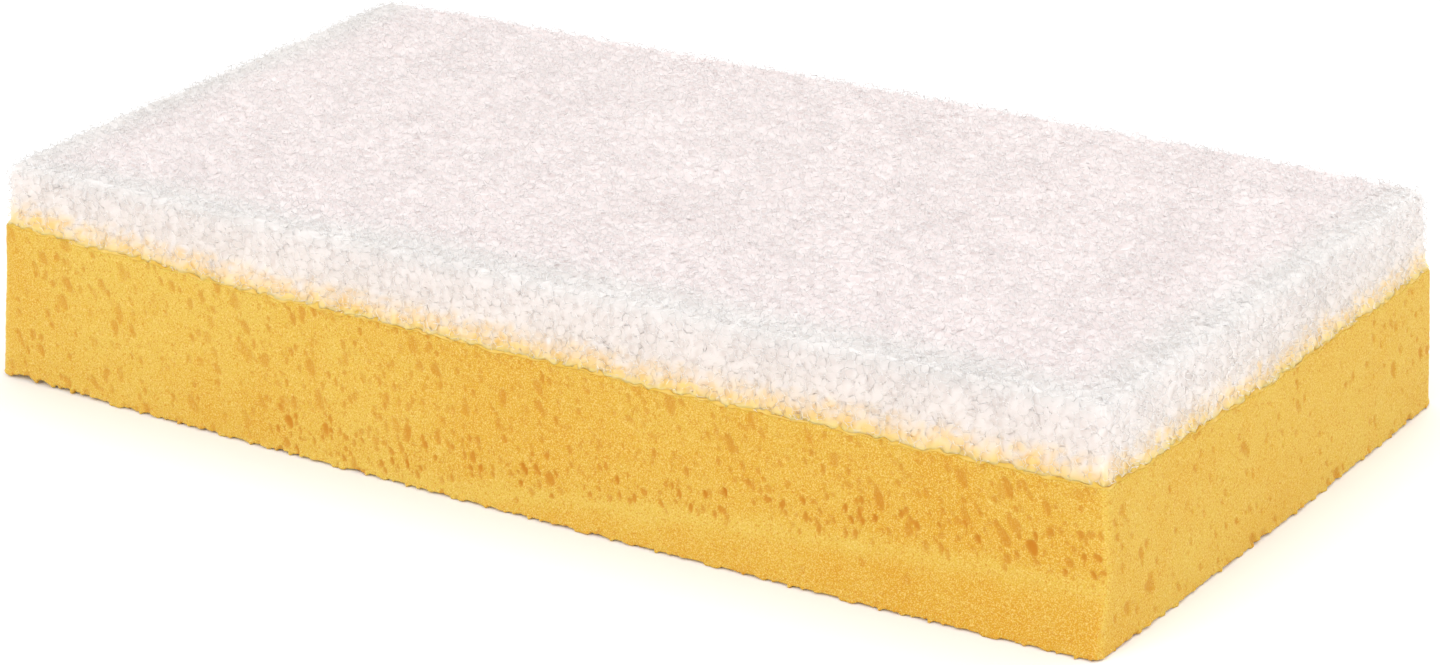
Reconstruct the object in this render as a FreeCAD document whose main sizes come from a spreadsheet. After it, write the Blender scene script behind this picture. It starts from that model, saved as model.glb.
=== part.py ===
"""Two-layer grout-cleaning pad for a tiler's float, in millimetres.

A block of yellow sponge carries a slab of open white scrubbing foam on top, and a thin adhesive film
joins them. The three pieces were laminated first and cut together afterwards, so one cut runs down
each side through all of them. Foam spreads under the blade, so the cut sides lean in towards the top.

Frame: the origin is the centre of the base, +X runs along the length and +Z is up.
"""

import FreeCAD, Part

import os
from math import pi, radians, tan

import Sketcher

# Driving dimensions: alias, value, what it is. Lengths are in millimetres, angles in degrees.
DIMENSIONS = [
    ("pad_length", 280.0, "length at half height, along X"),
    ("pad_width", 140.0, "width at half height, along Y"),
    ("sponge_height", 35.0, "thickness of the yellow sponge"),
    ("film_height", 0.4, "thickness of the adhesive film"),
    ("scrub_height", 14.6, "thickness of the white scrubbing foam"),
    ("side_slope", 3.0, "lean of the cut sides, from upright"),
    ("corner_radius", 3.0, "radius of the upright corners at half height; it tightens upwards"),
    ("rim_radius", 1.2, "rounding of the outer edges of the base and the top"),
]

# Height of each layer's underside, and half of the whole height, as expressions of the dimensions.
SPONGE_FLOOR = "0"
FILM_FLOOR = "dims.sponge_height"
SCRUB_FLOOR = "dims.sponge_height + dims.film_height"
HALF_HEIGHT = "(dims.sponge_height + dims.film_height + dims.scrub_height) / 2"

SAME_LEVEL = 1e-3  # how far two heights may differ and still count as one level
VOLUME_SHARE = 0.01  # how far a layer's volume may be from that of a square-cornered tapered slab


def make_sheet(doc):
    """The spreadsheet of driving dimensions, one row each."""
    sheet = doc.addObject("Spreadsheet::Sheet", "dims")
    for row, (alias, value, meaning) in enumerate(DIMENSIONS, start=1):
        sheet.set(f"A{row}", meaning)
        sheet.set(f"B{row}", str(value))
        sheet.setAlias(f"B{row}", alias)
    doc.recompute()
    return sheet


def add_rounded_rectangle(sketch, width, depth, radius):
    """Draws a centred rectangle with rounded corners, counterclockwise from its front side, and
    returns the numbers of the constraints that hold its width, its depth and its corner radius."""
    x, y = width / 2, depth / 2
    inner_x, inner_y = x - radius, y - radius
    starts = [(-inner_x, -y), (x, -inner_y), (inner_x, y), (-x, inner_y)]
    ends = [(inner_x, -y), (x, inner_y), (-inner_x, y), (-x, -inner_y)]
    centres = [(inner_x, -inner_y), (inner_x, inner_y), (-inner_x, inner_y), (-inner_x, -inner_y)]
    up = FreeCAD.Vector(0, 0, 1)
    for i in range(4):
        sketch.addGeometry(Part.LineSegment(FreeCAD.Vector(*starts[i]), FreeCAD.Vector(*ends[i])))
        circle = Part.Circle(FreeCAD.Vector(*centres[i]), up, radius)
        sketch.addGeometry(Part.ArcOfCircle(circle, (i - 1) * pi / 2, i * pi / 2))

    # Sides are the even pieces of the outline and corners the odd ones. Point 1 is a piece's start,
    # point 2 is its end, and piece -1's point 1 is the sketch's origin.
    front, right, back, left = 0, 2, 4, 6
    for i in range(8):
        sketch.addConstraint(Sketcher.Constraint("Tangent", i, 2, (i + 1) % 8, 1))
    for side in (front, back):
        sketch.addConstraint(Sketcher.Constraint("Horizontal", side))
    for side in (right, left):
        sketch.addConstraint(Sketcher.Constraint("Vertical", side))
    for corner in (3, 5, 7):
        sketch.addConstraint(Sketcher.Constraint("Equal", 1, corner))
    sketch.addConstraint(Sketcher.Constraint("Symmetric", front, 1, back, 1, -1, 1))
    return (
        sketch.addConstraint(Sketcher.Constraint("DistanceX", left, 1, right, 1, width)),
        sketch.addConstraint(Sketcher.Constraint("DistanceY", front, 1, back, 1, depth)),
        sketch.addConstraint(Sketcher.Constraint("Radius", 1, radius)),
    )


def add_outline(body, sheet, floor):
    """The layer's outline on the body's XY plane, raised to floor and as large as the cut is there."""
    sketch = body.newObject("Sketcher::SketchObject", body.Name + "_outline")
    plane = next(f for f in body.Origin.OriginFeatures if f.Role == "XY_Plane")
    sketch.AttachmentSupport = (plane, [""])
    sketch.MapMode = "FlatFace"
    sketch.setExpression("AttachmentOffset.Base.z", f"({floor}) * 1mm")

    spread = f"({HALF_HEIGHT} - ({floor})) * tan(dims.side_slope)"
    numbers = add_rounded_rectangle(sketch, sheet.pad_length, sheet.pad_width, sheet.corner_radius)
    sides = (("pad_length", 2), ("pad_width", 2), ("corner_radius", 1))
    for number, (alias, spreads) in zip(numbers, sides):
        sketch.setExpression(f"Constraints[{number}]", f"(dims.{alias} + {spreads} * {spread}) * 1mm")
    return sketch


def rim_edges(shape, rim):
    """The names of the edges around the shape's floor or ceiling."""
    heights = [vertex.Z for vertex in shape.Vertexes]
    level = min(heights) if rim == "floor" else max(heights)
    return [
        f"Edge{i}"
        for i, edge in enumerate(shape.Edges, start=1)
        if all(abs(vertex.Z - level) < SAME_LEVEL for vertex in edge.Vertexes)
    ]


def make_layer(doc, sheet, label, floor, height_alias, rim=None):
    """One laminated layer: a slab with rounded corners whose sides lean in. rim is "floor" or
    "ceiling" where that outer edge is rounded too, and None for a layer between two others."""
    body = doc.addObject("PartDesign::Body", label)
    body.Label = label
    outline = add_outline(body, sheet, floor)
    slab = body.newObject("PartDesign::Pad", label + "_slab")
    slab.Profile = outline
    slab.setExpression("Length", f"dims.{height_alias} * 1mm")
    slab.setExpression("TaperAngle", "-dims.side_slope * 1deg")
    doc.recompute()
    if rim:
        rounding = body.newObject("PartDesign::Fillet", label + "_rim")
        rounding.Base = (slab, rim_edges(slab.Shape, rim))
        rounding.setExpression("Radius", "dims.rim_radius * 1mm")
        body.Tip = rounding
        doc.recompute()
    return body


def slab_volume(sheet, floor_height, height):
    """Volume of a square-cornered slab of the pad between two heights."""
    half_height = (sheet.sponge_height + sheet.film_height + sheet.scrub_height) / 2

    def area(z):
        spread = 2 * (half_height - z) * tan(radians(sheet.side_slope))
        return (sheet.pad_length + spread) * (sheet.pad_width + spread)

    ceiling_height = floor_height + height
    middle = (floor_height + ceiling_height) / 2
    return (area(floor_height) + 4 * area(middle) + area(ceiling_height)) * height / 6


def check_document(doc, sheet, layers):
    """Stops the build if a feature failed, or a layer isn't one closed solid of the expected size."""
    for item in doc.Objects:
        if "Invalid" in item.State or "Error" in item.State:
            raise RuntimeError(f"{item.Label} failed: {item.State}")
    floor_height = 0.0
    for body, height_alias in layers:
        shape = body.Shape
        if shape.isNull() or not shape.isValid() or len(shape.Solids) != 1:
            raise RuntimeError(f"{body.Label} isn't one valid solid")
        height = getattr(sheet, height_alias)
        expected = slab_volume(sheet, floor_height, height)
        if abs(shape.Volume / expected - 1) > VOLUME_SHARE:
            raise RuntimeError(f"{body.Label} has volume {shape.Volume:.0f}, expected about {expected:.0f}")
        box = shape.optimalBoundingBox()
        print(f"{body.Label}: {box.XLength:.2f} x {box.YLength:.2f} mm, z {box.ZMin:.2f} to {box.ZMax:.2f}")
        floor_height += height


def main():
    doc = FreeCAD.newDocument("grout_pad")
    sheet = make_sheet(doc)
    sponge = make_layer(doc, sheet, "sponge_block", SPONGE_FLOOR, "sponge_height", rim="floor")
    film = make_layer(doc, sheet, "bond_film", FILM_FLOOR, "film_height")
    scrub = make_layer(doc, sheet, "scrub_foam", SCRUB_FLOOR, "scrub_height", rim="ceiling")
    check_document(doc, sheet, [(sponge, "sponge_height"), (film, "film_height"), (scrub, "scrub_height")])
    os.makedirs("parts", exist_ok=True)
    for body in (sponge, film, scrub):
        body.Shape.exportStep(f"parts/{body.Label}.step")


main()
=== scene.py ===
"""Looks of a two-layer grout pad: a yellow sponge block, an adhesive film and open white scrubbing foam.

Shapes are worked out in millimetres, in the CAD model's frame: the origin is the centre of the base,
+X runs along the length and +Z is up. make_piece() turns them into metres.
"""

from itertools import permutations, product
from math import cos, pi, radians, sin

import bpy
import numpy as np
from mathutils import Matrix, Vector, kdtree
from mathutils.geometry import delaunay_2d_cdt


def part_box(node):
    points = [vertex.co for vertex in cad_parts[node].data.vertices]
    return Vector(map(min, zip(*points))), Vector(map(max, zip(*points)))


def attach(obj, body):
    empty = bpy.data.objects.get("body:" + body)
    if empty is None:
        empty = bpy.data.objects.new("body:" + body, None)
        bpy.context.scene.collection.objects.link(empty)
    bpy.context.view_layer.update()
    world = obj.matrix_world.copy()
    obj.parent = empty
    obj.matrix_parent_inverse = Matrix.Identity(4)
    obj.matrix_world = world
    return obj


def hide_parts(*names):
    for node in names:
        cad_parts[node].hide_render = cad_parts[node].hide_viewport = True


MM = 0.001

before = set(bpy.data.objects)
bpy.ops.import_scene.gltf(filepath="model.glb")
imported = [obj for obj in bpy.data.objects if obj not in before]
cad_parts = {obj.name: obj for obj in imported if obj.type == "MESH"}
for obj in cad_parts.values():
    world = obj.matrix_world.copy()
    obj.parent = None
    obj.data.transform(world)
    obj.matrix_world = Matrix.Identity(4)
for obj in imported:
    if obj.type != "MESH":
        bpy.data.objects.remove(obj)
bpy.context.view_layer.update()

# ------------------------------------------------------------------ sizes that come from the frame


def box_mm(node):
    """Lowest and highest corner of a CAD node, in millimetres."""
    low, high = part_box(node)
    return np.array(low) / MM, np.array(high) / MM


_, SPONGE_HIGH = box_mm("sponge_block")
FILM_LOW, FILM_HIGH = box_mm("bond_film")
SCRUB_LOW, SCRUB_HIGH = box_mm("scrub_foam")

HALF_X, HALF_Y = SPONGE_HIGH[0], SPONGE_HIGH[1]
SEAM_Z = (FILM_LOW[2] + FILM_HIGH[2]) / 2
TOP_Z = SCRUB_HIGH[2]
LEAN = (HALF_X - SCRUB_HIGH[0]) / SCRUB_LOW[2]  # how far the cut sides lean in per mm of height

CORNER_RADIUS = 1.6  # rounding of the upright corners
FLOOR_RIM = 0.7  # rounding of the sponge's lower edge
TOP_RISE = 0.35  # how far the white foam's top stands above the CAD model's


# ------------------------------------------------------------------ noise


def value_noise(points, feature, seed):
    """Smooth noise from -1 to 1 at points, whose bumps are about feature mm across."""
    size = 32
    table = np.random.default_rng(seed).uniform(-1, 1, (size, size, size))
    scaled = points / feature
    corner = np.floor(scaled).astype(int)
    part = scaled - corner
    part = part * part * (3 - 2 * part)
    total = np.zeros(len(points))
    for step in product((0, 1), repeat=3):
        weight = np.ones(len(points))
        for axis in range(3):
            weight *= part[:, axis] if step[axis] else 1 - part[:, axis]
        i, j, k = ((corner[:, axis] + step[axis]) % size for axis in range(3))
        total += weight * table[i, j, k]
    return total


def dimples(points, feature, seed):
    """1 at the middle of each of many randomly placed cells, falling to 0 a little over half a cell
    away."""
    size = 32
    table = np.random.default_rng(seed).uniform(0.15, 0.85, (size, size, size, 3))
    scaled = points / feature
    corner = np.floor(scaled).astype(int)
    nearest = np.full(len(points), np.inf)
    for step in product((-1, 0, 1), repeat=3):
        cell = corner + np.array(step)
        i, j, k = (cell[:, axis] % size for axis in range(3))
        gap = cell + table[i, j, k] - scaled
        nearest = np.minimum(nearest, (gap * gap).sum(1))
    return np.clip(1 - nearest / 0.6**2, 0, 1)


def smooth_step(values):
    """0 below 0, 1 above 1, and a smooth climb between."""
    values = np.clip(values, 0, 1)
    return values * values * (3 - 2 * values)


# ------------------------------------------------------------------ the pad's outer shape

# Height of the seam above its mean along the length, in mm: laminated foam is never quite flat.
SEAM_WAVE_X = (-140, -95, -60, 0, 60, 140)
SEAM_WAVE_Z = (0.3, -0.7, -1.8, -1.7, -2.0, -1.8)
SEAM_DIP = 1.7  # how much lower it runs along the right-hand end

BOW_X, BOW_Y = 1.3, 0.8  # how far the long and the short sides bow out at their middles
FOOT_HEIGHT, FOOT_SPREAD, FOOT_BOW = 25.0, 0.7, 2.2  # how the sponge spreads where it meets the floor

# On the front side a shallow fold rises from the base towards the right-hand corner. Below it the
# sponge spreads outwards.
FOLD_START = -34.0  # where along the length it leaves the floor
FOLD_RISE = 13.3  # its height at the corner
FOLD_SPREAD = 3.3
CREST_HEIGHT = 0.4  # how far the fold itself stands out

BACK_RISE = 0.8  # how much higher the pad's top stands along its back edge
BACK_REACH = 1.9  # how much further out it stands at the right-hand end of that edge
LEFT_CURL = 1.0  # how far the left-hand end of the base lifts off the floor


def half_sizes(z):
    """Half the length and half the width of the pad at a height."""
    return HALF_X - LEAN * z, HALF_Y - LEAN * z


def seam_height(points):
    """Height of the seam between the two foams, over points."""
    flat = points * np.array([1, 1, 0])
    wave = np.interp(flat[:, 0], SEAM_WAVE_X, SEAM_WAVE_Z)
    wave -= SEAM_DIP * smooth_step((flat[:, 0] - 90) / 50) * smooth_step((flat[:, 1] + HALF_Y) / 70)
    wave += 0.35 * value_noise(flat, 11, 1) + 0.35 * value_noise(flat, 4, 2)
    wave += 0.5 * value_noise(flat, 1.8, 5)
    return SEAM_Z + wave


def along_fold(x):
    """0 where the fold leaves the floor, and 1 at the pad's right-hand end."""
    return np.clip((x - FOLD_START) / (HALF_X - FOLD_START), 0, 1)


def fold_height(x):
    """Height of the fold on the front side."""
    return FOLD_RISE * (1 - (1 - along_fold(x)) ** 1.6)


def unevenness(points):
    """How far the pad's surface waves in and out."""
    return 0.25 * value_noise(points, 28, 3) + 0.15 * value_noise(points, 9, 4)


def side_push(points, normals):
    """How far the cut sides stand out from a flat cut, at points of the sides."""
    x, y, z = points.T
    foot = np.clip(1 - z / FOOT_HEIGHT, 0, 1)
    bow = (BOW_X + FOOT_BOW * foot) * (1 - (x / HALF_X) ** 2) * np.abs(normals[:, 1])
    bow += BOW_Y * (1 - (y / HALF_Y) ** 2) * np.abs(normals[:, 0])
    bow += FOOT_SPREAD * foot * (1 - 1.5 * np.clip(normals[:, 0], 0, 1))
    crest = np.exp(-(((z - fold_height(x)) / 1.6) ** 2)) * along_fold(x) * np.clip(-normals[:, 1], 0, 1)
    return bow + CREST_HEIGHT * crest + unevenness(points)


def fold_shift(points):
    """How far the sponge spreads forwards below the fold, which also draws out its lower corner."""
    x, y, z = points.T
    along = along_fold(x)
    below = np.clip(1 - z / np.maximum(fold_height(x), 0.1), 0, 1) * (along > 0)
    return FOLD_SPREAD * along**1.3 * below * smooth_step((18 - HALF_Y - y) / 18)


def curl(points):
    """How far the left-hand end of the sponge's base lifts off the floor."""
    return LEFT_CURL * smooth_step((-points[:, 0] - 100) / 45) * np.clip(1 - points[:, 2] / 20, 0, 1)


def sagged(points):
    """The pad as it lies: its back edge and its far right-hand corner stand a little proud."""
    x, y, z = points.T
    share = z / TOP_Z
    back = smooth_step((y + 20) / (HALF_Y + 20))
    out = BACK_REACH * share * back * smooth_step((x - 100) / 40)
    return np.stack([x + out, y, z + BACK_RISE * share * back], 1)


def outline(spacing):
    """Points around the pad's base, counterclockwise from its front side, and their outward normals."""
    inner_x, inner_y = HALF_X - CORNER_RADIUS, HALF_Y - CORNER_RADIUS
    runs = (
        ((-inner_x, -HALF_Y), (inner_x, -HALF_Y), (inner_x, -inner_y), -90),
        ((HALF_X, -inner_y), (HALF_X, inner_y), (inner_x, inner_y), 0),
        ((inner_x, HALF_Y), (-inner_x, HALF_Y), (-inner_x, inner_y), 90),
        ((-HALF_X, inner_y), (-HALF_X, -inner_y), (-inner_x, -inner_y), 180),
    )
    points, normals = [], []
    for start, end, centre, angle in runs:
        start, end, centre = np.array(start), np.array(end), np.array(centre)
        steps = int(np.linalg.norm(end - start) / spacing)
        along = np.arange(steps)[:, None] / steps
        points.append(start + (end - start) * along)
        normals.append(np.tile((cos(radians(angle)), sin(radians(angle))), (steps, 1)))
        turns = max(3, int(CORNER_RADIUS * pi / 2 / spacing))
        angles = np.radians(angle + 90 * np.arange(turns) / turns)
        rays = np.stack([np.cos(angles), np.sin(angles)], 1)
        points.append(centre + CORNER_RADIUS * rays)
        normals.append(rays)
    return np.vstack(points), np.vstack(normals)


def ring_at(flat_points, z, inset):
    """The outline at a height, or at one height per point, drawn in by inset."""
    half_x, half_y = half_sizes(z)
    x = flat_points[:, 0] * (half_x - inset) / HALF_X
    y = flat_points[:, 1] * (half_y - inset) / HALF_Y
    return np.stack([x, y, z + 0 * x], 1)


# ------------------------------------------------------------------ meshes

ROW_SPACING = 0.866  # of rows of equal-sided triangles, as a share of a triangle's side
UV_MARGIN = 0.005  # how far the pieces' flat layouts stay from the texture's edges


def stack_rings(rings, fill_bottom, fill_top, seed):
    """One closed surface from rings of equal length, lowest first. Each end is filled with triangles
    whose inner points are fill_bottom or fill_top apart. Returns points, quads and triangles."""
    count = len(rings[0])
    points = np.vstack(rings)
    start = np.arange(len(rings) - 1)[:, None] * count
    here, beside = np.arange(count), np.roll(np.arange(count), -1)
    quads = np.stack([start + here, start + beside, start + count + beside, start + count + here], -1)
    triangles = []
    rng = np.random.default_rng(seed)
    for ring, first, spacing, flip in (
        (rings[0], 0, fill_bottom, True),
        (rings[-1], count * (len(rings) - 1), fill_top, False),
    ):
        low, high = ring.min(0) + spacing, ring.max(0) - spacing
        xs = np.arange(low[0], high[0], spacing)
        ys = np.arange(low[1], high[1], spacing * ROW_SPACING)
        grid_x, grid_y = np.meshgrid(xs, ys)
        grid_x[1::2] += spacing / 2
        inner = np.stack([grid_x.ravel(), grid_y.ravel()], 1)
        inner += rng.uniform(-0.2, 0.2, inner.shape) * spacing
        inner = inner[inside_rounded(inner, ring, spacing * 0.7)]
        flat = np.vstack([ring[:, :2], inner])
        edges = list(zip(here.tolist(), beside.tolist()))
        found = delaunay_2d_cdt([Vector(p) for p in flat.tolist()], edges, [], 1, 1e-9)
        faces = np.array(found[2])
        numbers = np.where(faces < count, faces + first, faces - count + len(points))
        triangles.append(numbers[:, ::-1] if flip else numbers)
        height = np.full((len(inner), 1), ring[:, 2].mean())
        points = np.vstack([points, np.hstack([inner, height])])
    return points, quads.reshape(-1, 4), np.vstack(triangles)


def inside_rounded(points, ring, margin):
    """Which points lie inside the ring's rounded rectangle by more than margin."""
    low, high = ring.min(0)[:2], ring.max(0)[:2]
    gap = np.minimum(points - low, high - points)
    corner = np.clip(CORNER_RADIUS + margin - gap, 0, None)
    return (gap.min(1) > margin) & (np.linalg.norm(corner, axis=1) < CORNER_RADIUS)


def make_piece(name, points, quads, triangles, material, node):
    """A smooth mesh piece that rides on the pad and stands for a CAD node."""
    mesh = bpy.data.meshes.new(name)
    mesh.vertices.add(len(points))
    mesh.vertices.foreach_set("co", (sagged(points) * MM).astype(np.float32).ravel())
    loops = np.concatenate([quads.ravel(), triangles.ravel()]).astype(np.int32)
    sizes = np.concatenate([np.full(len(quads), 4), np.full(len(triangles), 3)])
    starts = np.cumsum(sizes) - sizes
    mesh.loops.add(len(loops))
    mesh.loops.foreach_set("vertex_index", loops)
    mesh.polygons.add(len(sizes))
    mesh.polygons.foreach_set("loop_start", starts.astype(np.int32))
    mesh.polygons.foreach_set("use_smooth", np.ones(len(sizes), bool))
    mesh.update(calc_edges=True)
    add_uv(mesh, points, loops, sizes, starts)
    mesh.materials.append(material)
    piece = bpy.data.objects.new(name, mesh)
    bpy.context.scene.collection.objects.link(piece)
    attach(piece, "root")
    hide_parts(node)
    return piece


def add_uv(mesh, points, loops, sizes, starts):
    """Lays the piece out flat for textures, to scale, in four strips: the front, both short sides, the
    back, and the base and top over each other."""
    owner = np.repeat(np.arange(len(sizes)), sizes)
    centre = np.add.reduceat(points[loops], starts) / sizes[:, None]
    half_x, half_y = half_sizes(centre[:, 2])
    x, y, z = centre.T
    gaps = np.stack([y + half_y, half_x - x, half_y - y, half_x + x])
    side = gaps.argmin(0)
    flat = np.minimum(z, TOP_Z - z) < gaps.min(0)
    side = np.where(flat, 4, side)[owner]
    # The layout is a square, whose side stands for the pad's length and a little more.
    x, y, z = points[loops].T
    span = 2 * HALF_X * 1.04
    strip = TOP_Z * 1.04 / span
    u = np.choose(side, [x + HALF_X, y + HALF_Y, HALF_X - x, span * 0.51 + HALF_Y - y, x + HALF_X])
    v = np.choose(side, [0 * z, 0 * z + strip, 0 * z + 2 * strip, 0 * z + strip, 0 * z + 3 * strip])
    v = v + np.where(side == 4, y + HALF_Y, z) / span
    layer = mesh.uv_layers.new(name="OFBake")
    layer.data.foreach_set("uv", np.stack([u / span, v], 1).astype(np.float32).ravel() + UV_MARGIN)


def add_values(piece, name, values):
    """Gives each point of the piece a number that its material can read."""
    attribute = piece.data.attributes.new(name, "FLOAT", "POINT")
    attribute.data.foreach_set("value", np.asarray(values, np.float32))


# ------------------------------------------------------------------ materials


def new_material(name, roughness, specular):
    """A material of one Principled shader, and that shader."""
    material = bpy.data.materials.new(name)
    material.use_nodes = True
    shader = material.node_tree.nodes["Principled BSDF"]
    shader.inputs["Roughness"].default_value = roughness
    shader.inputs["Specular IOR Level"].default_value = specular
    return material, shader


def scatter_light(shader, weight, radius, scale):
    """Lets light spread under the surface, by radius times scale in red, green and blue."""
    shader.inputs["Subsurface Weight"].default_value = weight
    shader.inputs["Subsurface Radius"].default_value = radius
    shader.inputs["Subsurface Scale"].default_value = scale


def add_node(material, kind, inputs=None, **settings):
    """A node with its settings, whose inputs are either values or sockets to link from."""
    node = material.node_tree.nodes.new(kind)
    for key, value in settings.items():
        setattr(node, key, value)
    for key, value in (inputs or {}).items():
        if isinstance(value, bpy.types.NodeSocket):
            material.node_tree.links.new(value, node.inputs[key])
        else:
            node.inputs[key].default_value = value
    return node


def read_value(material, name):
    """The socket that carries one of the numbers given by add_values()."""
    return add_node(material, "ShaderNodeAttribute", attribute_name=name).outputs["Fac"]


def mix_colours(material, share, first, second):
    """A socket that goes from the first colour to the second as share goes from 0 to 1. A colour is
    red, green and blue, or a socket."""
    first, second = (
        colour if isinstance(colour, bpy.types.NodeSocket) else (*colour, 1) for colour in (first, second)
    )
    # A Mix node has inputs for each kind of value: 0 is the share, 6 and 7 are its two colours, and
    # output 2 is the mixed colour.
    node = add_node(material, "ShaderNodeMix", {0: share, 6: first, 7: second}, data_type="RGBA")
    return node.outputs[2]


def noise_share(material, scale, low, high, detail):
    """A socket with noise that runs from 0 to 1 between the levels low and high. scale is per metre."""
    place = add_node(material, "ShaderNodeTexCoord").outputs["Object"]
    inputs = {"Vector": place, "Scale": scale, "Detail": detail}
    noise = add_node(material, "ShaderNodeTexNoise", inputs)
    inputs = {"Value": noise.outputs["Fac"], "From Min": low, "From Max": high}
    return add_node(material, "ShaderNodeMapRange", inputs).outputs["Result"]


# Red, green and blue of each colour, in linear light.
SPONGE_PALE = (0.65, 0.425, 0.062)
SPONGE_DEEP = (0.61, 0.315, 0.018)
# Dark specks of the grain, and painted shade inside the pores.
SPONGE_SPECK_AND_PORE_SHADE = (0.54, 0.21, 0.010)
SPONGE_LIGHT = (0.75, 0.56, 0.16)

# The COOL colours, along the front and both ends of the top, are painted shade: cooler and darker on those
# edges.
FOAM_COOL = (0.76, 0.725, 0.70)
FOAM_WARM = (0.83, 0.74, 0.73)
# The SIDE colours, lighter down the sides, are painted light.
FOAM_SIDE_PAINTED_LIGHT = (0.87, 0.81, 0.785)
# PEACH and AMBER, close above the sponge, are partly its yellow in the lowest cells and partly painted
# yellow light from it.
FOAM_PEACH = (0.90, 0.70, 0.44)
# The core's colours are a little darker than the struts': painted shade for the deeper foam.
CORE_COOL = (0.70, 0.665, 0.645)
CORE_WARM = (0.76, 0.68, 0.67)
CORE_SIDE_PAINTED_LIGHT = (0.79, 0.735, 0.71)
CORE_AMBER = (0.88, 0.60, 0.20)
FILM_DEEP = (0.65, 0.40, 0.045)
FILM_PALE = (0.75, 0.53, 0.14)


def sponge_material():
    """Matt yellow sponge: a tone that drifts over the block, with painted highlights and painted light mixed
    into it, painted shade in the pores, dark specks and a pale fine grain.
    """
    material, shader = new_material("yellow_sponge", 0.75, specular=0.25)
    # The tone carries painted highlights along the fold and the corners and painted light on the right-hand
    # end.
    colour = mix_colours(material, read_value(material, "tone_and_painted_light"), SPONGE_PALE, SPONGE_DEEP)
    grain = noise_share(material, 3600, 0.45, 0.75, detail=1)
    colour = mix_colours(material, grain, colour, SPONGE_LIGHT)
    specks = noise_share(material, 2400, 0.52, 0.85, detail=1)
    colour = mix_colours(material, specks, colour, SPONGE_SPECK_AND_PORE_SHADE)
    # Painted shade inside the pores.
    colour = mix_colours(material, read_value(material, "pore"), colour, SPONGE_SPECK_AND_PORE_SHADE)
    material.node_tree.links.new(colour, shader.inputs["Base Color"])
    relief = noise_share(material, 2200, 0.2, 0.8, detail=3)
    inputs = {"Height": relief, "Distance": 0.00015, "Strength": 0.5}
    bump = add_node(material, "ShaderNodeBump", inputs)
    material.node_tree.links.new(bump.outputs["Normal"], shader.inputs["Normal"])
    scatter_light(shader, 0.25, (1.0, 0.55, 0.15), 0.0025)
    return material


def foam_material(name, roughness, specular, spread, colours):
    """White foam. Its colours are along its top edges, inside them, on its sides and just above the
    sponge: the edge colour is painted shade, the side colour painted light, and the colour above the
    sponge partly its yellow and partly painted yellow light. spread is how far light spreads inside
    it, in metres."""
    cool, warm, side, low = colours
    material, shader = new_material(name, roughness, specular)
    scatter_light(shader, 1.0, (1.0, 1.0, 1.0), spread)
    # Painted shade along the front and end edges of the top.
    colour = mix_colours(material, read_value(material, "inner"), cool, warm)
    # Painted light down the sides.
    colour = mix_colours(material, read_value(material, "side"), colour, side)
    # The sponge's yellow close above it, partly painted yellow light.
    colour = mix_colours(material, read_value(material, "low"), colour, low)
    material.node_tree.links.new(colour, shader.inputs["Base Color"])
    return material


def film_material():
    """Clear hot-melt adhesive with the yellow sponge showing through it."""
    material, shader = new_material("adhesive_film", 0.6, specular=0.3)
    drift = noise_share(material, 350, 0.35, 0.7, detail=2)
    colour = mix_colours(material, drift, FILM_DEEP, FILM_PALE)
    material.node_tree.links.new(colour, shader.inputs["Base Color"])
    return material


# ------------------------------------------------------------------ yellow sponge

SPONGE_STEP = 0.36  # spacing of the sponge's mesh on its sides
SPONGE_GAP = 0.1  # how far the sponge's top stays below the seam
PORE_SLANT = radians(-65)  # pores lean this way on every side, measured from the length of the side
PALE_PORE = 0.65  # radius under which a pore's painted shade is lighter

# Each kind of pore: area of surface per pore, radius range, depth as a share of the radius.
BIG_PORES = (34.0, 0.7, 1.7, 0.3)
SMALL_PORES = (3.4, 0.3, 0.85, 0.4)


def sponge_rings():
    """The sponge's rings from its base to its top, with the outward normal at each point."""
    flat_points, flat_normals = outline(SPONGE_STEP)
    count = len(flat_points)
    seam = seam_height(np.hstack([flat_points, np.zeros((count, 1))])) - SPONGE_GAP
    # Each level: inset, share of the way from the rounded rim up to the seam, height above that, and
    # how much of its normal points outwards and upwards.
    levels = [(inset, 0.0, 0.0, (0, -1)) for inset in (7.0, 5.4, 4.2, 3.2, 2.4, 1.8)]
    for angle in np.radians(np.linspace(90, 0, 7)):
        out, up = cos(angle), -sin(angle)
        levels.append((FLOOR_RIM * (1 - out), 0.0, FLOOR_RIM * (1 + up), (out, up)))
    rows = int((SEAM_Z - FLOOR_RIM) / SPONGE_STEP)
    for row in range(1, rows):
        levels.append((0.0, row / rows, 0.0, (1, 0)))
    levels.append((0.1, 1.0, -0.12, (0.8, 0.6)))
    levels += [(inset, 1.0, 0.0, (0, 1)) for inset in (0.4, 1.2, 2.6, 5.0)]
    rings, normals = [], []
    for inset, share, extra, (out, up) in levels:
        low = FLOOR_RIM if share > 0 else 0.0
        rings.append(ring_at(flat_points, low + (seam - low) * share + extra, inset))
        normals.append(np.hstack([flat_normals * out, np.full((count, 1), up)]))
    return rings, normals


def side_of(normals):
    """Unit vectors along the length of the side and up it, for each normal."""
    along = np.stack([-normals[:, 1], normals[:, 0], 0 * normals[:, 0]], 1)
    length = np.linalg.norm(along, axis=1, keepdims=True)
    along = np.where(length > 0.3, along / np.maximum(length, 1e-9), np.array([1.0, 0, 0]))
    return along, np.cross(normals, along)


def big_pore_share(point, normal):
    """How likely a big pore is here: most on the left, few on the short sides, none below the fold."""
    if abs(normal[0]) > 0.7:
        return 0.25
    if normal[2] < -0.7:
        return 0.8
    if normal[1] < -0.7 and point[2] < fold_height(point[0]) + 1:
        return 0.0
    return 1.0 if point[0] < -20 else 0.5


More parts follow.
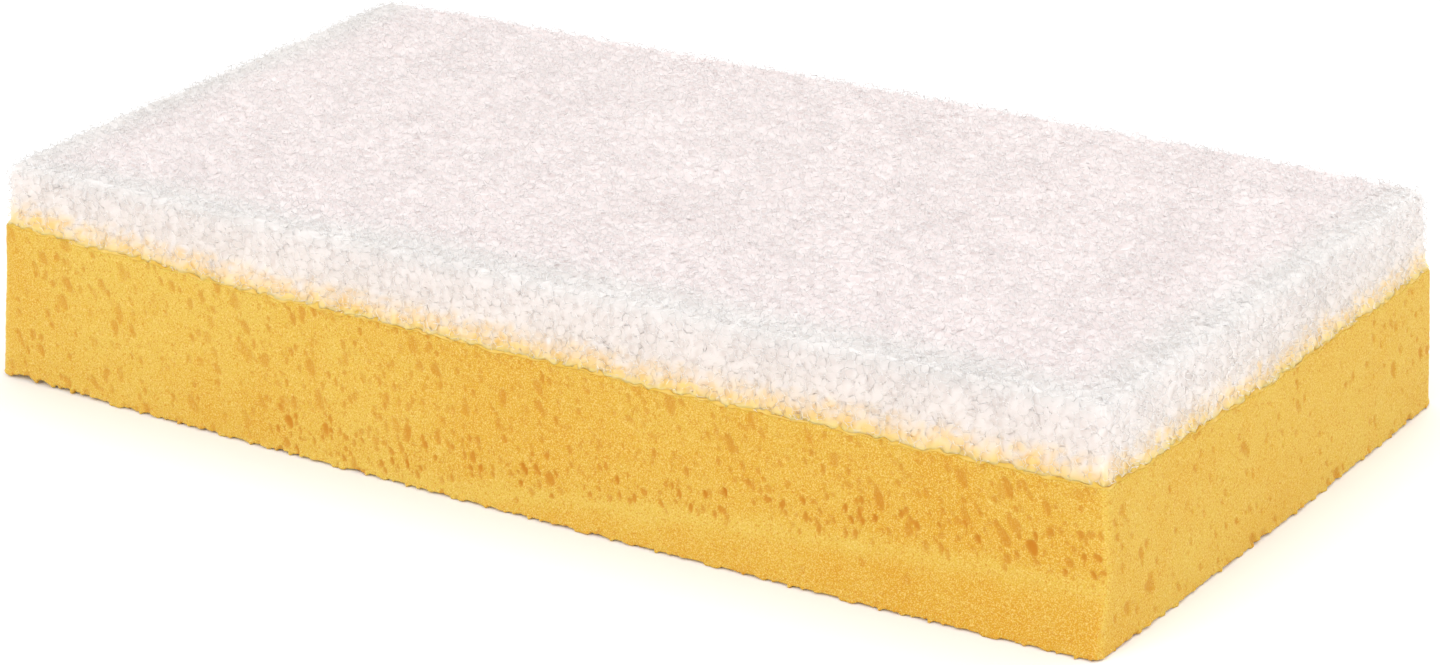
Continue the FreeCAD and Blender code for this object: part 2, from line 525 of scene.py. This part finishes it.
def small_pore_share(point, normal):
    """How likely a small pore is here: most just over the fold, few on the short sides and on the
    left, and hardly any below the fold."""
    if abs(normal[0]) > 0.7:
        return 0.2
    if point[0] < -60:
        return 0.4
    over_fold = point[2] - fold_height(point[0])
    if normal[1] > -0.7 or over_fold > 9:
        return 0.7
    return 1.0 if over_fold > 0.5 else 0.05


def pore_darkness(point, normal):
    """How dark the painted shade in pores is here, which also sets their depth: they are deepest a little
    way over the fold.
    """
    if abs(normal[0]) > 0.7:
        return 0.5
    if point[0] < -60:
        return 0.45
    return 0.5 + 0.4 * np.exp(-(((point[2] - fold_height(point[0]) - 5) / 4.5) ** 2))


def dig_pores(points, normals, ring_points):
    """Depth and painted shade at each point of the pores cut open by the surface. Pores are placed on the
    first ring_points of the points."""
    depth, painted_shade = np.zeros(len(points)), np.zeros(len(points))
    tree = kdtree.KDTree(len(points))
    for number, point in enumerate(points.tolist()):
        tree.insert(point, number)
    tree.balance()
    along, across = side_of(normals)
    rng = np.random.default_rng(11)
    perimeter = 4 * (HALF_X + HALF_Y)
    kinds = (BIG_PORES, big_pore_share), (SMALL_PORES, small_pore_share)
    for (area, least, most, share), likely in kinds:
        wanted = int(perimeter * SEAM_Z / area)
        for place in rng.integers(0, ring_points, wanted):
            chance, size, slant, stretch, deep = rng.uniform(size=5)
            if chance > likely(points[place], normals[place]) or painted_shade[place] > 0.3:
                continue
            radius = least + (most - least) * size**1.8
            long = radius * (1.1 + 0.6 * stretch)
            short = radius * (0.95 - 0.25 * stretch)
            turn = PORE_SLANT + 0.7 * (slant - 0.5)
            near = np.array([found[1] for found in tree.find_range(points[place], long)])
            gap = points[near] - points[place]
            u, v = gap @ along[place], gap @ across[place]
            first = (u * cos(turn) + v * sin(turn)) / long
            second = (v * cos(turn) - u * sin(turn)) / short
            wobble = 1 + 0.12 * np.sin(3 * np.arctan2(second, first) + 6 * deep)
            away = (first**2 + second**2) * wobble
            bowl = np.sqrt(np.clip(1 - away, 0, 1))
            strength = pore_darkness(points[place], normals[place]) * (0.45 + 0.55 * deep)
            depth[near] = np.maximum(depth[near], radius * share * (0.5 + strength) * bowl)
            # Painted shade in the pore, lighter for small pores.
            shade = strength if radius > PALE_PORE else 0.75 * strength
            painted_shade[near] = np.maximum(painted_shade[near], shade * smooth_step(1.1 * bowl))
    return depth, painted_shade


def sponge_grain(points, normals):
    """How far the sponge's fine grain stands out. Its lower edge is frayed."""
    grain = 0.06 * value_noise(points, 0.75, 13) + 0.05 * value_noise(points, 1.7, 14)
    rim = np.exp(-((points[:, 2] / 1.1) ** 2)) * (normals[:, 2] > -0.95)
    grain = grain + 1.5 * rim * np.clip(value_noise(points, 1.0, 17) - 0.1, 0, 1)
    return grain * np.where(normals[:, 2] > 0.5, 0, 1)


def sponge_tone_and_painted_light(points, normals):
    """The sponge's tone, from 0, pale, to 1, deep: it deepens towards the right-hand end and drifts at
    random.
    It is made pale along the fold's crest and at the upright corners, a painted highlight, and on the
    right-hand end, painted light on that side."""
    x, _, z = points.T
    tone_and_painted_light = 0.25 + 0.45 * smooth_step((x + 110) / 170) + 0.3 * value_noise(points, 35, 15)
    tone_and_painted_light += 0.25 * value_noise(points, 5, 16)
    front = np.clip(-normals[:, 1], 0, 1)
    crest = np.exp(-(((z - fold_height(x)) / 2.2) ** 2)) * front * smooth_step((x - FOLD_START + 60) / 60)
    corner = np.clip(2 * np.abs(normals[:, 0] * normals[:, 1]), 0, 1)
    # Painted highlights along the fold's crest and the upright corners, and painted light on the right-hand
    # end.
    tone_and_painted_light -= 0.7 * crest + 0.35 * np.clip(normals[:, 0], 0, 1) + 0.6 * corner
    return np.clip(tone_and_painted_light, 0, 1)


def make_sponge():
    """The yellow block, with its cut-open pores, its fold and its fine grain."""
    rings, ring_normals = sponge_rings()
    points, quads, triangles = stack_rings(rings, fill_bottom=1.4, fill_top=5.0, seed=12)
    count = len(rings) * len(rings[0])
    normals = np.zeros((len(points), 3))
    normals[:count] = np.vstack(ring_normals)
    inner = np.arange(count, len(points))
    at_base = inner[points[inner, 2] < 1]
    at_top = inner[points[inner, 2] > 1]
    normals[at_base, 2], normals[at_top, 2] = -1, 1
    points[at_top, 2] = seam_height(points[at_top]) - SPONGE_GAP

    on_side = np.linalg.norm(normals[:, :2], axis=1)
    side_normals = normals * np.array([1, 1, 0]) / np.maximum(on_side, 1e-9)[:, None]
    push = side_push(points, side_normals) * smooth_step(on_side)
    pore_depth, pore_shade = dig_pores(points, normals, count)
    pore_depth[normals[:, 2] > 0.5] = 0
    relief = sponge_grain(points, normals) - pore_depth
    shift = fold_shift(points)
    points = points + side_normals * push[:, None] + normals * relief[:, None]
    points[:, 1] -= shift
    points[:, 2] += curl(points)
    points[:, 2] = np.maximum(points[:, 2], 0)

    piece = make_piece(
        "yellow_sponge", points, quads, triangles, sponge_material(), "sponge_block"
    )
    # Tone, with painted highlights and painted light mixed in.
    add_values(piece, "tone_and_painted_light", sponge_tone_and_painted_light(points, normals))
    # Painted shade inside the pores.
    add_values(piece, "pore", np.clip(1.25 * pore_shade, 0, 1))


# ------------------------------------------------------------------ adhesive film

FILM_SINK, FILM_RISE = 0.3, 0.25  # how far the film reaches below and above the seam


def make_film():
    """The adhesive film, whose ragged edge shows along the cut."""
    flat_points, flat_normals = outline(0.45)
    base = np.hstack([flat_points, np.zeros((len(flat_points), 1))])
    seam = seam_height(base)
    ragged = 0.15 + 0.2 * value_noise(base, 1.4, 21)
    climb = 0.05 + 2.0 * np.clip(value_noise(base, 1.8, 23), 0, 1)
    rings = []
    for inset, z in (
        (5.0, seam - FILM_SINK),
        (1.5, seam - FILM_SINK),
        (0.1, seam - FILM_SINK),
        (0.0, seam - 0.1),
        (0.05, seam + 0.25 * climb),
        (0.3, seam + 0.6 * climb),
        (0.7, seam + 0.9 * climb),
        (1.5, seam + climb),
        (3.0, seam + 0.1),
        (5.0, seam + FILM_RISE),
    ):
        side = ring_at(flat_points, z, inset)
        out = np.hstack([flat_normals, np.zeros((len(side), 1))])
        push = side_push(side, out) - ragged
        rings.append(side + out * push[:, None])
    points, quads, triangles = stack_rings(rings, fill_bottom=6.0, fill_top=3.0, seed=24)
    count = len(rings) * len(rings[0])
    lift = np.where(points[count:, 2] > rings[3][:, 2].mean(), FILM_RISE, -FILM_SINK)
    points[count:, 2] = seam_height(points[count:]) + lift
    make_piece(
        "adhesive_film", points, quads, triangles, film_material(), "bond_film"
    )


# ------------------------------------------------------------------ white scrubbing foam

CELL = 2.15  # repeat of the foam's cells
STRUT = 0.105  # how far a strut's edges stand from its middle at a joint
CELL_JITTER = 0.11  # how far the cells' middles are moved at random, in cells
CELL_DRIFT = 0.3  # the most that moves a cell's corner, in cells
CELL_BEND = 0.55  # how far whole groups of cells are moved, in cells
CELL_MARGIN = 6.0  # how far cells are laid out beyond the foam
WEB_DEPTH = 0.8  # how deep the open web is before the core closes the view
WEB_OVERLAP = 0.5  # how far its struts go on into the core
WEB_EDGE = 2.2  # rounding of the foam's top edge
WEB_CORNER = 2.6  # rounding of its upright corners
JOINT_GAP, CUT_GAP = 0.4, 0.1  # how far above the seam joints and cut ends stay
FACING = 0.42  # least cosine of the angle between a strut and the faces that it joins
MAX_WEB_FACES = 190_000  # most triangles in one piece of the web

CORE_SINK = 0.25  # how far below the seam the core's base lies
CORE_INSET = 0.1  # how deep the core lies at the seam
CORE_FLARE = 4.0  # how far above the seam it has drawn in to the web's depth

AMBER_REACH = 7.0  # how far above the seam the foam takes the sponge's colour: partly its yellow in the lowest cells, partly painted yellow light from the sponge
HAZE_REACH = 15.0  # how far above it a faint trace of that colour reaches, which is painted yellow light
CORE_HAZE, WEB_HAZE = 0.08, 0.3  # how strong the trace is in the core and in the web


def is_apart(first, second, distance):
    """Whether two points are that far apart."""
    return abs(np.linalg.norm(first - second) - distance) < 0.01


def foam_topology():
    """One repeat of a foam of equal cells that fill space. Returns its 12 corners, the 4 cell middles
    nearest each corner, and the 4 corners joined to it. A middle is (x, y, z step, which of two), a
    joined corner is (x, y, z step, corner number), in steps of one repeat."""
    corners = []
    for order in permutations((0.0, 0.25, 0.5)):
        for quarter in (0.25, 0.75):
            corners.append([quarter if value == 0.25 else value for value in order])
    corners = np.array(corners)
    steps = list(product((-1, 0, 1, 2), repeat=3))
    to_middle, to_corner = 5**0.5 / 4, 2**0.5 / 4  # distances, in repeats
    middles, joined = [], []
    for corner in corners:
        near = [(*step, which) for step in steps for which in (0, 1)]
        middles.append([n for n in near if is_apart(np.array(n[:3]) + n[3] / 2, corner, to_middle)])
        near = [(*step, other) for step in steps for other in range(12)]
        joined.append([n for n in near if is_apart(corners[n[3]] + n[:3], corner, to_corner)])
    return corners, np.array(middles), np.array(joined)


def web_depth(points):
    """How deep points lie inside the white foam's outer surface, in mm. It is negative outside."""
    half_x, half_y = half_sizes(points[:, 2])
    long_bow = BOW_X * (1 - (points[:, 0] / HALF_X) ** 2)
    short_bow = BOW_Y * (1 - (points[:, 1] / HALF_Y) ** 2)
    over_x = np.abs(points[:, 0]) - half_x - short_bow + WEB_CORNER
    over_y = np.abs(points[:, 1]) - half_y - long_bow + WEB_CORNER
    side = np.hypot(np.maximum(over_x, 0), np.maximum(over_y, 0)) - WEB_CORNER
    side += np.minimum(np.maximum(over_x, over_y), 0) + WEB_EDGE
    top = points[:, 2] - TOP_Z - TOP_RISE + WEB_EDGE
    away = np.hypot(np.maximum(side, 0), np.maximum(top, 0)) - WEB_EDGE
    away += np.minimum(np.maximum(side, top), 0)
    return unevenness(points) - away


def foam_corners(rng):
    """Every corner of the foam's cells near the outer surface. Returns their places and the numbers of
    the four corners joined to each, -1 where one is missing. A corner is the point that is as far
    from four cells' middles, so moving the middles at random makes the cells uneven."""
    corners, middles, joined = foam_topology()
    # The cells are turned, so that no row of them lines up with a side of the pad.
    turn = np.array(Matrix.Rotation(0.62, 3, Vector((0.4, 1.0, 0.55)).normalized()))
    far_x, far_y = HALF_X + CELL_MARGIN, HALF_Y + CELL_MARGIN
    heights = SEAM_Z - CELL_MARGIN, TOP_Z + CELL_MARGIN
    box = np.array(list(product((-far_x, far_x), (-far_y, far_y), heights)))
    lattice_box = box @ turn / CELL
    low = np.floor(lattice_box.min(0)).astype(int) - 1
    shape = np.ceil(lattice_box.max(0)).astype(int) + 2 - low

    cubes = np.stack(np.meshgrid(*[np.arange(n) for n in shape], indexing="ij"), -1).reshape(-1, 3)
    middle = (cubes + low + 0.5) * CELL @ turn.T
    deep = web_depth(middle)
    # Cells a little way outside the web are kept too, so that every strut has a far end.
    near = (deep > -2.2 * CELL) & (deep < WEB_DEPTH + 2.6 * CELL) & (middle[:, 2] > SEAM_Z - 2.5 * CELL)
    cubes = cubes[near]
    row_of = np.full(shape + 4, -1)
    row_of[tuple((cubes + 1).T)] = np.arange(len(cubes))

    jitter = rng.normal(0, CELL_JITTER, (*(shape + 4), 2, 3))
    step, which = middles[..., :3], middles[..., 3]
    place = cubes[:, None, None, :] + 1 + step
    shift = jitter[place[..., 0], place[..., 1], place[..., 2], which]
    seeds = place - 1 + which[..., None] / 2 + shift
    ideal = cubes[:, None, :] + corners
    gaps = seeds[:, :, 1:] - seeds[:, :, :1]
    squares = (seeds[:, :, 1:] ** 2).sum(-1) - (seeds[:, :, :1] ** 2).sum(-1)
    drift = np.linalg.solve(2 * gaps, squares[..., None])[..., 0] - ideal
    far = np.linalg.norm(drift, axis=-1, keepdims=True)
    places = ideal + drift * np.minimum(1, CELL_DRIFT / np.maximum(far, 1e-9))
    places = ((places + low) * CELL @ turn.T).reshape(-1, 3)

    other = cubes[:, None, None, :] + 1 + joined[..., :3]
    rows = row_of[other[..., 0], other[..., 1], other[..., 2]]
    links = np.where(rows >= 0, rows * 12 + joined[..., 3], -1).reshape(-1, 4)
    for finer, seed in ((1, 33), (2, 34)):
        bumps = 8 * CELL / finer
        bend = np.stack([value_noise(places + 40 * axis, bumps, seed) for axis in range(3)], 1)
        places = places + bend * CELL * CELL_BEND / finer
    return places, links


# The corners of each face of a tetrahedron, counterclockwise seen from outside: face i leaves out
# corner i. The second set is for a tetrahedron whose corners run the other way round.
FACES = np.array(
    [
        [[1, 2, 3], [0, 3, 2], [0, 1, 3], [0, 2, 1]],
        [[1, 3, 2], [0, 2, 3], [0, 3, 1], [0, 1, 2]],
    ]
)


def faces_along(triangles, way):
    """Which triangles face along their way, or within about 65 degrees of it."""
    first, second = triangles[:, 1] - triangles[:, 0], triangles[:, 2] - triangles[:, 0]
    normal = np.cross(first, second)
    return (normal * way).sum(1) > FACING * np.linalg.norm(normal, axis=1)


def choose_struts(links, inside, deep, above):
    """Every strut of the web, once: the corner of a cell that it starts at, which of that corner's four
    links it is, the corner that it ends at, and whether that end lies in the web too. The others are
    cut off at the foam's surface."""
    start = np.repeat(np.arange(len(links)), 4)
    slot = np.tile(np.arange(4), len(links))
    end = links.ravel()
    keep = inside[start] & (end >= 0)
    start, slot, end = start[keep], slot[keep], end[keep]
    both = inside[end]
    keep = (both & (start < end)) | (~both & (deep[end] <= 0) & (above[end] > CUT_GAP))
    return start[keep], slot[keep], end[keep], both[keep]


def joint_tips(places, links, rng):
    """The small tetrahedron at each corner of a cell, with a face towards each of the four struts.
    Returns its own four corners, and 1 where they run the other way round."""
    arms = places[links] - places[:, None]
    lengths = np.linalg.norm(arms, axis=2, keepdims=True)
    shortest = lengths.min((1, 2))
    arms /= np.maximum(lengths, 1e-9)
    size = np.minimum(STRUT * rng.uniform(0.85, 1.2, len(places)), 0.4 * shortest)
    spread = arms - arms.mean(1, keepdims=True)
    tips = places[:, None] - spread * size[:, None, None]
    mirrored = (np.linalg.det(tips[:, 1:] - tips[:, :1]) < 0).astype(int)
    return tips, mirrored


def build_web(rng):
    """The open web of struts over the foam's outer surface. Each corner of a cell is a small
    tetrahedron, and each strut joins a face of one to a face of another. Cut struts end in a cap.
    Returns a list of closed surfaces, one for each stretch of the length."""
    places, links = foam_corners(rng)
    deep = web_depth(places)
    above = places[:, 2] - seam_height(places)
    limit = WEB_DEPTH + WEB_OVERLAP + rng.uniform(-0.25, 0.25, len(places))
    inside = (deep > 0) & (deep < limit) & (above > JOINT_GAP) & (links >= 0).all(1)
    start, slot, end, both = choose_struts(links, inside, deep, above)
    end_slot = (links[end] == start[:, None]).argmax(1)
    tips, mirrored = joint_tips(places, links, rng)

    way = places[end] - places[start]
    way /= np.linalg.norm(way, axis=1, keepdims=True)
    tips_flat = tips.reshape(-1, 3)
    ids = start[:, None] * 4 + FACES[mirrored[start], slot]
    end_ids = end[:, None] * 4 + FACES[mirrored[end], end_slot][:, ::-1]

    # Where a joint is so skewed that a strut would fold over itself, the strut is left out.
    sound = faces_along(tips_flat[ids], way) & (~both | faces_along(tips_flat[end_ids], way))
    struts = start, slot, end, both, end_slot, way, ids, end_ids
    start, slot, end, both, end_slot, way, ids, end_ids = (values[sound] for values in struts)

    # The far face's corners are paired with the near face's so that the strut is least twisted.
    near_rays = tips_flat[ids] - places[start][:, None]
    far_rays = tips_flat[end_ids] - places[end][:, None]
    cost = np.stack([((near_rays - np.roll(far_rays, -k, 1)) ** 2).sum((1, 2)) for k in range(3)], 1)
    turned = (np.arange(3) + cost.argmin(1)[:, None]) % 3
    end_ids = np.take_along_axis(end_ids, turned, 1)
    far_ring = tips_flat[end_ids]

    # A cut strut reaches up to 0.4 mm past the foam's surface, and is a little thinner there.
    stub = rng.uniform(0.0, 0.4, len(start))
    reach = np.clip((deep[start] + stub) / np.maximum(deep[start] - deep[end], 1e-6), 0.15, 1)
    cut = places[start] + (places[end] - places[start]) * reach[:, None]
    flat_rays = near_rays - way[:, None] * (near_rays * way[:, None]).sum(2, keepdims=True)
    far_ring = np.where(both[:, None, None], far_ring, cut[:, None] + 0.8 * flat_rays)

    # Three quads make 6 triangles for each strut, and the caps add about 1.3 for each joint.
    used = np.unique(np.concatenate([start, end[both]]))
    pieces = max(1, int(np.ceil((len(start) * 6 + len(used) * 1.3) / MAX_WEB_FACES)))
    bounds = np.quantile(places[start, 0], np.linspace(0, 1, pieces + 1)[1:-1])
    home = np.searchsorted(bounds, places[:, 0])
    joined = both & (home[start] == home[end])

    surfaces = []
    for number in range(pieces):
        here = home[start] == number
        corners = used[home[used] == number]
        new_row = np.full(len(places), -1)
        new_row[corners] = np.arange(len(corners))

        # A strut that ends in another piece, or is cut, has three points of its own at its far end.
        near_end = new_row[ids[here] // 4] * 4 + ids[here] % 4
        far_end = new_row[end_ids[here] // 4] * 4 + end_ids[here] % 4
        loose = np.flatnonzero(~joined[here])
        far_end[loose] = len(corners) * 4 + np.arange(len(loose) * 3).reshape(-1, 3)
        points = np.vstack([tips[corners].reshape(-1, 3), far_ring[here][loose].reshape(-1, 3)])
        quads = []
        for a, b in ((0, 1), (1, 2), (2, 0)):
            quads.append(np.stack([near_end[:, a], near_end[:, b], far_end[:, b], far_end[:, a]], 1))

        # Loose ends and the faces of joints that no strut leaves from are closed by triangles.
        attached = np.zeros((len(places), 4), bool)
        attached[start[here], slot[here]] = True
        attached[end[here & joined], end_slot[here & joined]] = True
        bare_corner, bare_slot = np.nonzero(~attached[corners])
        caps = bare_corner[:, None] * 4 + FACES[mirrored[corners[bare_corner]], bare_slot]
        surfaces.append((points, np.vstack(quads), np.vstack([far_end[loose], caps])))
    return surfaces


def foam_values(piece, points, haze):
    """Gives a piece of the white foam the numbers that its colour depends on, each from 0 to 1: inner
    away from the front and both ends, whose edges get painted shade; side below the top, which gets
    painted light; and low close above the seam, partly the sponge's yellow and partly painted yellow light."""
    half_x, half_y = half_sizes(points[:, 2])
    rim = np.minimum(half_x - np.abs(points[:, 0]), half_y + points[:, 1])
    drift = 3 * value_noise(points, 30, 41)
    # Painted shade along the front and both ends of the top.
    add_values(piece, "inner", smooth_step((rim + drift - 3) / 14))
    # Painted light down the sides.
    add_values(piece, "side", smooth_step((TOP_Z - points[:, 2] - 0.5) / 4))
    # The sponge's yellow close above the seam, partly painted yellow light; the haze above it is painted
    # yellow light.
    above = points[:, 2] - seam_height(points)
    near = np.clip(1 - above / AMBER_REACH, 0, 1)
    low = near**1.5 + 1.6 * near * (1 - near) * value_noise(points, 1.3, 42)
    low += haze * smooth_step(1 - above / HAZE_REACH)
    add_values(piece, "low", np.clip(low, 0, 1))


def make_core(material):
    """The foam's inside, closed behind the web: deeper cells that no strut is drawn for."""
    flat_points, flat_normals = outline(0.9)
    count = len(flat_points)
    base = np.hstack([flat_points, np.zeros((count, 1))])
    seam = seam_height(base)
    out = np.hstack([flat_normals, np.zeros((count, 1))])
    core_top = TOP_Z + TOP_RISE - WEB_DEPTH
    # Each level: inset, and share of the way from the core's base up to its top.
    levels = [(WEB_DEPTH + 4.0, 0.0), (WEB_DEPTH + 1.0, 0.0), (0.5, 0.0), (0.25, 0.01), (0.2, 0.04)]
    for share in np.linspace(0.08, 0.88, 14):
        flare = max(0, 1 - share * (core_top - SEAM_Z) / CORE_FLARE) ** 1.5
        levels.append((WEB_DEPTH + (CORE_INSET - WEB_DEPTH) * flare, share))
    levels += [(WEB_DEPTH + 0.4, 0.95), (WEB_DEPTH + 1.2, 1.0), (WEB_DEPTH + 2.2, 1.0)]
    rings = []
    for inset, share in levels:
        z = seam - CORE_SINK + (core_top - seam + CORE_SINK) * share
        side = ring_at(flat_points, z, inset)
        rings.append(side + out * side_push(side, out)[:, None])
    points, quads, triangles = stack_rings(rings, fill_bottom=6.0, fill_top=0.95, seed=43)
    at_base = (np.arange(len(points)) >= len(rings) * count) & (points[:, 2] < SEAM_Z + 2)
    points[at_base, 2] = seam_height(points[at_base]) - CORE_SINK
    dip = 0.6 * dimples(points, 2.1, 44) + 0.2 * value_noise(points, 1.2, 45)
    inward = points * np.array([0.06, 0.12, 0])
    inward = -inward / np.maximum(np.linalg.norm(inward, axis=1, keepdims=True), 1e-6)
    on_top = smooth_step((points[:, 2] - core_top + 1.2) / 1.2)
    points = points + inward * (dip * (1 - on_top))[:, None]
    points[:, 2] += (unevenness(points) - dip) * on_top
    piece = make_piece(
        "scrub_foam_core", points, quads, triangles, material, "scrub_foam"
    )
    foam_values(piece, points, CORE_HAZE)


def make_scrub_foam():
    """The white foam: a core under an open web of struts."""
    # The core's colours are a little darker than the struts': painted shade for the deeper foam.
    colours = CORE_COOL, CORE_WARM, CORE_SIDE_PAINTED_LIGHT, CORE_AMBER
    make_core(foam_material("white_foam_core", roughness=0.8, specular=0.3, spread=0.003, colours=colours))
    colours = FOAM_COOL, FOAM_WARM, FOAM_SIDE_PAINTED_LIGHT, FOAM_PEACH
    struts = foam_material("white_foam_struts", roughness=0.22, specular=0.6, spread=0.0012, colours=colours)
    web = build_web(np.random.default_rng(46))
    for number, (points, quads, triangles) in enumerate(web, start=1):
        name = f"scrub_foam_web_{number}"
        piece = make_piece(name, points, quads, triangles, struts, "scrub_foam")
        foam_values(piece, points, WEB_HAZE)


# ------------------------------------------------------------------ stage, lights and camera

VIEW_AZIMUTH = 34.5  # degrees round from the front, towards the right-hand end
VIEW_ELEVATION = 21.7
VIEW_ROLL = -1.7
VIEW_DISTANCE = 0.918  # in metres, like the two below
VIEW_SIDESTEP, VIEW_RISE = 0.0043, -0.0108  # the camera's place off the line through the pad's middle
VIEW_LENS = 105.3
SENSOR_WIDTH = 36.0


def make_camera():
    """The camera, at the height and angle of the reference view."""
    azimuth, elevation, roll = radians(VIEW_AZIMUTH), radians(VIEW_ELEVATION), radians(VIEW_ROLL)
    back = Vector((sin(azimuth) * cos(elevation), -cos(azimuth) * cos(elevation), sin(elevation)))
    level = Vector((cos(azimuth), sin(azimuth), 0))
    upright = back.cross(level)
    right = cos(roll) * level + sin(roll) * upright
    up = cos(roll) * upright - sin(roll) * level
    centre = Vector((0, 0, TOP_Z / 2 * MM))
    data = bpy.data.cameras.new("camera")
    data.sensor_width = SENSOR_WIDTH
    data.lens = VIEW_LENS
    camera = bpy.data.objects.new("camera", data)
    camera.location = centre + back * VIEW_DISTANCE + right * VIEW_SIDESTEP + up * VIEW_RISE
    camera.rotation_euler = Matrix((right, up, back)).transposed().to_euler()
    bpy.context.scene.collection.objects.link(camera)
    bpy.context.scene.camera = camera


def add_light(name, place, size, power):
    """A square soft white light that faces the pad."""
    data = bpy.data.lights.new(name, "AREA")
    data.size = size
    data.energy = power
    light = bpy.data.objects.new(name, data)
    light.location = place
    light.rotation_euler = (Vector((0, 0, 0.02)) - Vector(place)).to_track_quat("-Z", "Y").to_euler()
    bpy.context.scene.collection.objects.link(light)


def make_stage():
    """A plain pale floor under soft white light."""
    mesh = bpy.data.meshes.new("floor")
    reach = 6.0
    corners = [(-reach, -reach, 0), (reach, -reach, 0), (reach, reach, 0), (-reach, reach, 0)]
    mesh.from_pydata(corners, [], [(0, 1, 2, 3)])
    floor = bpy.data.objects.new("floor", mesh)
    floor.location.z = -0.0001  # just clear of the pad's base
    bpy.context.scene.collection.objects.link(floor)
    material, shader = new_material("floor", 0.9, specular=0.1)
    shader.inputs["Base Color"].default_value = (0.93, 0.93, 0.93, 1)
    mesh.materials.append(material)

    world = bpy.data.worlds.new("world")
    world.use_nodes = True
    background = world.node_tree.nodes["Background"]
    background.inputs["Color"].default_value = (1, 1, 1, 1)
    background.inputs["Strength"].default_value = 1.0
    bpy.context.scene.world = world
    add_light("key", (-0.2, -1.5, 1.3), 1.3, 12)
    add_light("fill", (1.6, -0.3, 0.8), 1.2, 4.9)
    add_light("back", (0.2, 0.9, 1.6), 1.2, 7.8)
    bpy.context.scene.view_settings.view_transform = "Standard"


make_stage()
make_camera()
make_sponge()
make_film()
make_scrub_foam()
